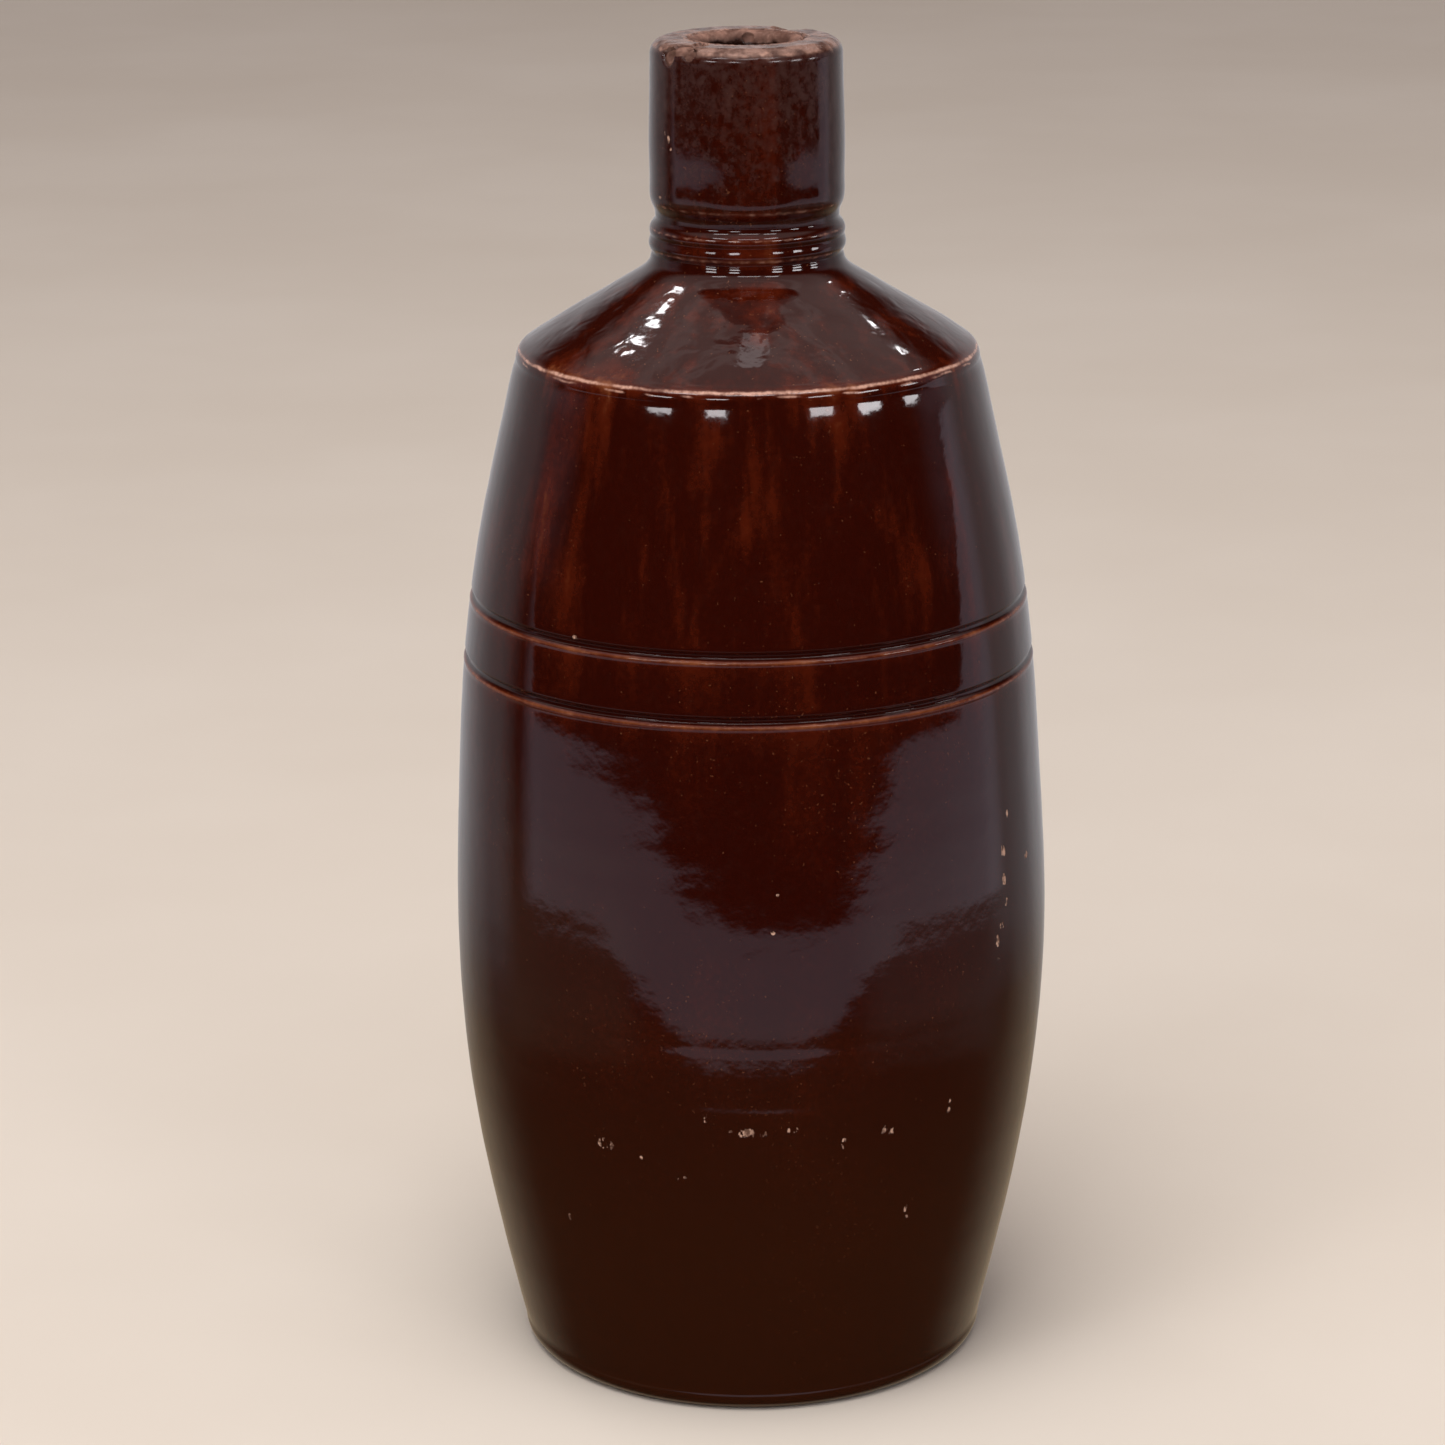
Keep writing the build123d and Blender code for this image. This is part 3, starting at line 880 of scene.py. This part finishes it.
def studio_world():
    """The light round the bottle: a dim surround with shapes in it, rather than a plain one.

    The gloss mirrors a bright wall behind, a pale ceiling, and a pool of light low in front, as in the room
    where the bottle was seen. The camera itself sees only a plain pale background.
    """
    world = bpy.data.worlds.new("studio")
    world.use_nodes = True
    bpy.context.scene.world = world
    tree = world.node_tree
    tree.nodes.clear()
    output = tree.nodes.new("ShaderNodeOutputWorld")
    background = tree.nodes.new("ShaderNodeBackground")
    tree.links.new(background.outputs[0], output.inputs[0])
    direction = tree.nodes.new("ShaderNodeTexCoord").outputs["Generated"]
    split = tree.nodes.new("ShaderNodeSeparateXYZ")
    tree.links.new(direction, split.inputs[0])

    def math_node(operation, a, b=0.0):
        node = tree.nodes.new("ShaderNodeMath")
        node.operation = operation
        for value, socket in zip((a, b), node.inputs):
            if isinstance(value, bpy.types.NodeSocket):
                tree.links.new(value, socket)
            else:
                socket.default_value = value
        return node.outputs[0]

    degrees = 180 / math.pi
    front = math_node("MULTIPLY", split.outputs["Y"], -1.0)
    azimuth = math_node("MULTIPLY", math_node("ARCTAN2", split.outputs["X"], front), degrees)
    elevation = math_node("MULTIPLY", math_node("ARCSINE", split.outputs["Z"]), degrees)

    def step(value, low, high):
        node = tree.nodes.new("ShaderNodeMapRange")
        node.interpolation_type = "SMOOTHSTEP"
        tree.links.new(value, node.inputs[0])
        node.inputs[1].default_value = low
        node.inputs[2].default_value = high
        return node.outputs[0]

    def patch(left, right, low, high, soft_side, soft_end):
        """A soft-edged rectangle of directions, in degrees of azimuth and elevation."""
        across = math_node("MULTIPLY", step(azimuth, left - soft_side, left + soft_side),
                           step(azimuth, right + soft_side, right - soft_side))
        up = math_node("MULTIPLY", step(elevation, low - soft_end, low + soft_end),
                       step(elevation, high + soft_end, high - soft_end))
        return math_node("MULTIPLY", across, up)

    def add_light(base, share, colour, strength):
        """The base colour with a share of another colour added."""
        node = tree.nodes.new("ShaderNodeMix")
        node.data_type = "RGBA"
        node.blend_type = "ADD"
        scaled = math_node("MULTIPLY", share, strength)
        tree.links.new(scaled, node.inputs["Factor"])
        if isinstance(base, bpy.types.NodeSocket):
            tree.links.new(base, node.inputs["A"])
        else:
            node.inputs["A"].default_value = base
        node.inputs["B"].default_value = (*colour, 1.0)
        return next(s for s in node.outputs if s.type == "RGBA")

    def blend(value, low, high, at_low, at_high):
        return math_node("ADD", math_node("MULTIPLY", step(value, low, high), at_high - at_low), at_low)

    def above(edge, softness):
        """1 for directions above an edge that may itself vary with azimuth."""
        return step(math_node("SUBTRACT", elevation, edge), -softness, softness)

    cool = (0.98, 0.96, 0.99)
    violet = (0.97, 0.93, 1.12)
    wood = (1.0, 0.78, 0.55)
    ceiling = (1.0, 0.92, 0.9)
    all_round = (-400, 400)
    sideways = math_node("ABSOLUTE", azimuth)
    light = (0.012, 0.008, 0.006, 1.0)

    # the wall behind, down to the counter, and the dim wood below it
    behind = math_node("ADD", math_node("MULTIPLY", step(sideways, 101, 118), 0.29),
                       math_node("MULTIPLY", step(sideways, 120, 155), 0.24))
    behind = math_node("MULTIPLY", behind, step(elevation, 29, 14))
    light = add_light(light, math_node("MULTIPLY", behind, above(-19.3, 4.0)), cool, 1.0)
    low_behind = math_node("MULTIPLY", step(sideways, 104, 150), 0.28)
    below_counter = math_node("SUBTRACT", 1.0, above(-19.3, 4.0))
    light = add_light(light, math_node("MULTIPLY", low_behind, below_counter), wood, 1.0)

    # the ceiling with two brighter bands, then a column of light at each side
    light = add_light(light, patch(*all_round, 40, 95, 2, 7), (1.0, 0.88, 0.85), 0.52)
    light = add_light(light, patch(*all_round, 60, 65, 2, 2), ceiling, 0.22)
    light = add_light(light, patch(*all_round, 70, 73.5, 2, 1.2), ceiling, 0.25)
    light = add_light(light, patch(-112, -90, 2, 26, 9, 6), violet, 0.2)
    light = add_light(light, patch(90, 112, 2, 26, 9, 6), violet, 0.2)

    # the pool of light low in front, between an upper and a lower edge that both rise towards the sides
    left_top = blend(math_node("MULTIPLY", azimuth, -1.0), -4, 66, -14.8, -8.9)
    right_top = blend(azimuth, 25, 70, -14.8, -9.1)
    pool_top = math_node("MAXIMUM", left_top, right_top)
    far_top = math_node("MULTIPLY", step(sideways, 90, 104), 12.0)
    pool_top = math_node("ADD", pool_top, far_top)
    pool_bottom = blend(sideways, 14, 66, -25.4, -16.2)
    pool = math_node("MULTIPLY", above(pool_bottom, 0.8), math_node("SUBTRACT", 1.0, above(pool_top, 0.9)))
    pool = math_node("MULTIPLY", pool, step(sideways, 118, 106))
    pool = math_node("MULTIPLY", pool, step(math_node("ADD", azimuth, 110), 6, 20))
    light = add_light(light, pool, violet, 0.46)

    # dim wood under the pool, and a little brighter at the sides
    light = add_light(light, patch(*all_round, -95, -22, 2, 3), (1.0, 0.72, 0.4), 0.055)
    light = add_light(light, patch(-112, -46, -24, -14, 10, 3), wood, 0.15)
    light = add_light(light, patch(46, 112, -24, -14, 10, 3), (1.0, 0.85, 0.8), 0.17)

    # what the camera sees directly, in place of the surround
    paths = tree.nodes.new("ShaderNodeLightPath")
    seen = tree.nodes.new("ShaderNodeMix")
    seen.data_type = "RGBA"
    tree.links.new(paths.outputs["Is Camera Ray"], seen.inputs["Factor"])
    tree.links.new(light, seen.inputs["A"])
    seen.inputs["B"].default_value = (0.72, 0.74, 0.76, 1.0)
    tree.links.new(next(s for s in seen.outputs if s.type == "RGBA"), background.inputs["Color"])


studio_world()
bpy.context.scene.view_settings.view_transform = "Standard"

# ---------------------------------------------------------------- camera
CAMERA_LENS = 112.11          # mm on a 36 mm sensor
CAMERA_HEIGHT = 1.4456 * cad_high.z
CAMERA_DISTANCE = 3.2486 * cad_high.z
CAMERA_PITCH = math.radians(16.474)
CAMERA_ROLL = math.radians(-0.525)
CAMERA_YAW = math.radians(-0.355)


def make_camera():
    data = bpy.data.cameras.new("camera")
    data.sensor_width = 36
    data.lens = CAMERA_LENS
    camera = bpy.data.objects.new("camera", data)
    bpy.context.scene.collection.objects.link(camera)
    ahead = math.cos(CAMERA_PITCH)
    forward = Vector((math.sin(CAMERA_YAW) * ahead, math.cos(CAMERA_YAW) * ahead, -math.sin(CAMERA_PITCH)))
    level = Vector((math.cos(CAMERA_YAW), -math.sin(CAMERA_YAW), 0))
    upright = level.cross(forward)
    side = math.cos(CAMERA_ROLL) * level + math.sin(CAMERA_ROLL) * upright
    top = math.cos(CAMERA_ROLL) * upright - math.sin(CAMERA_ROLL) * level
    camera.matrix_world = Matrix((side, top, -forward)).transposed().to_4x4()
    camera.location = (0, -CAMERA_DISTANCE, CAMERA_HEIGHT)
    bpy.context.scene.camera = camera


make_camera()
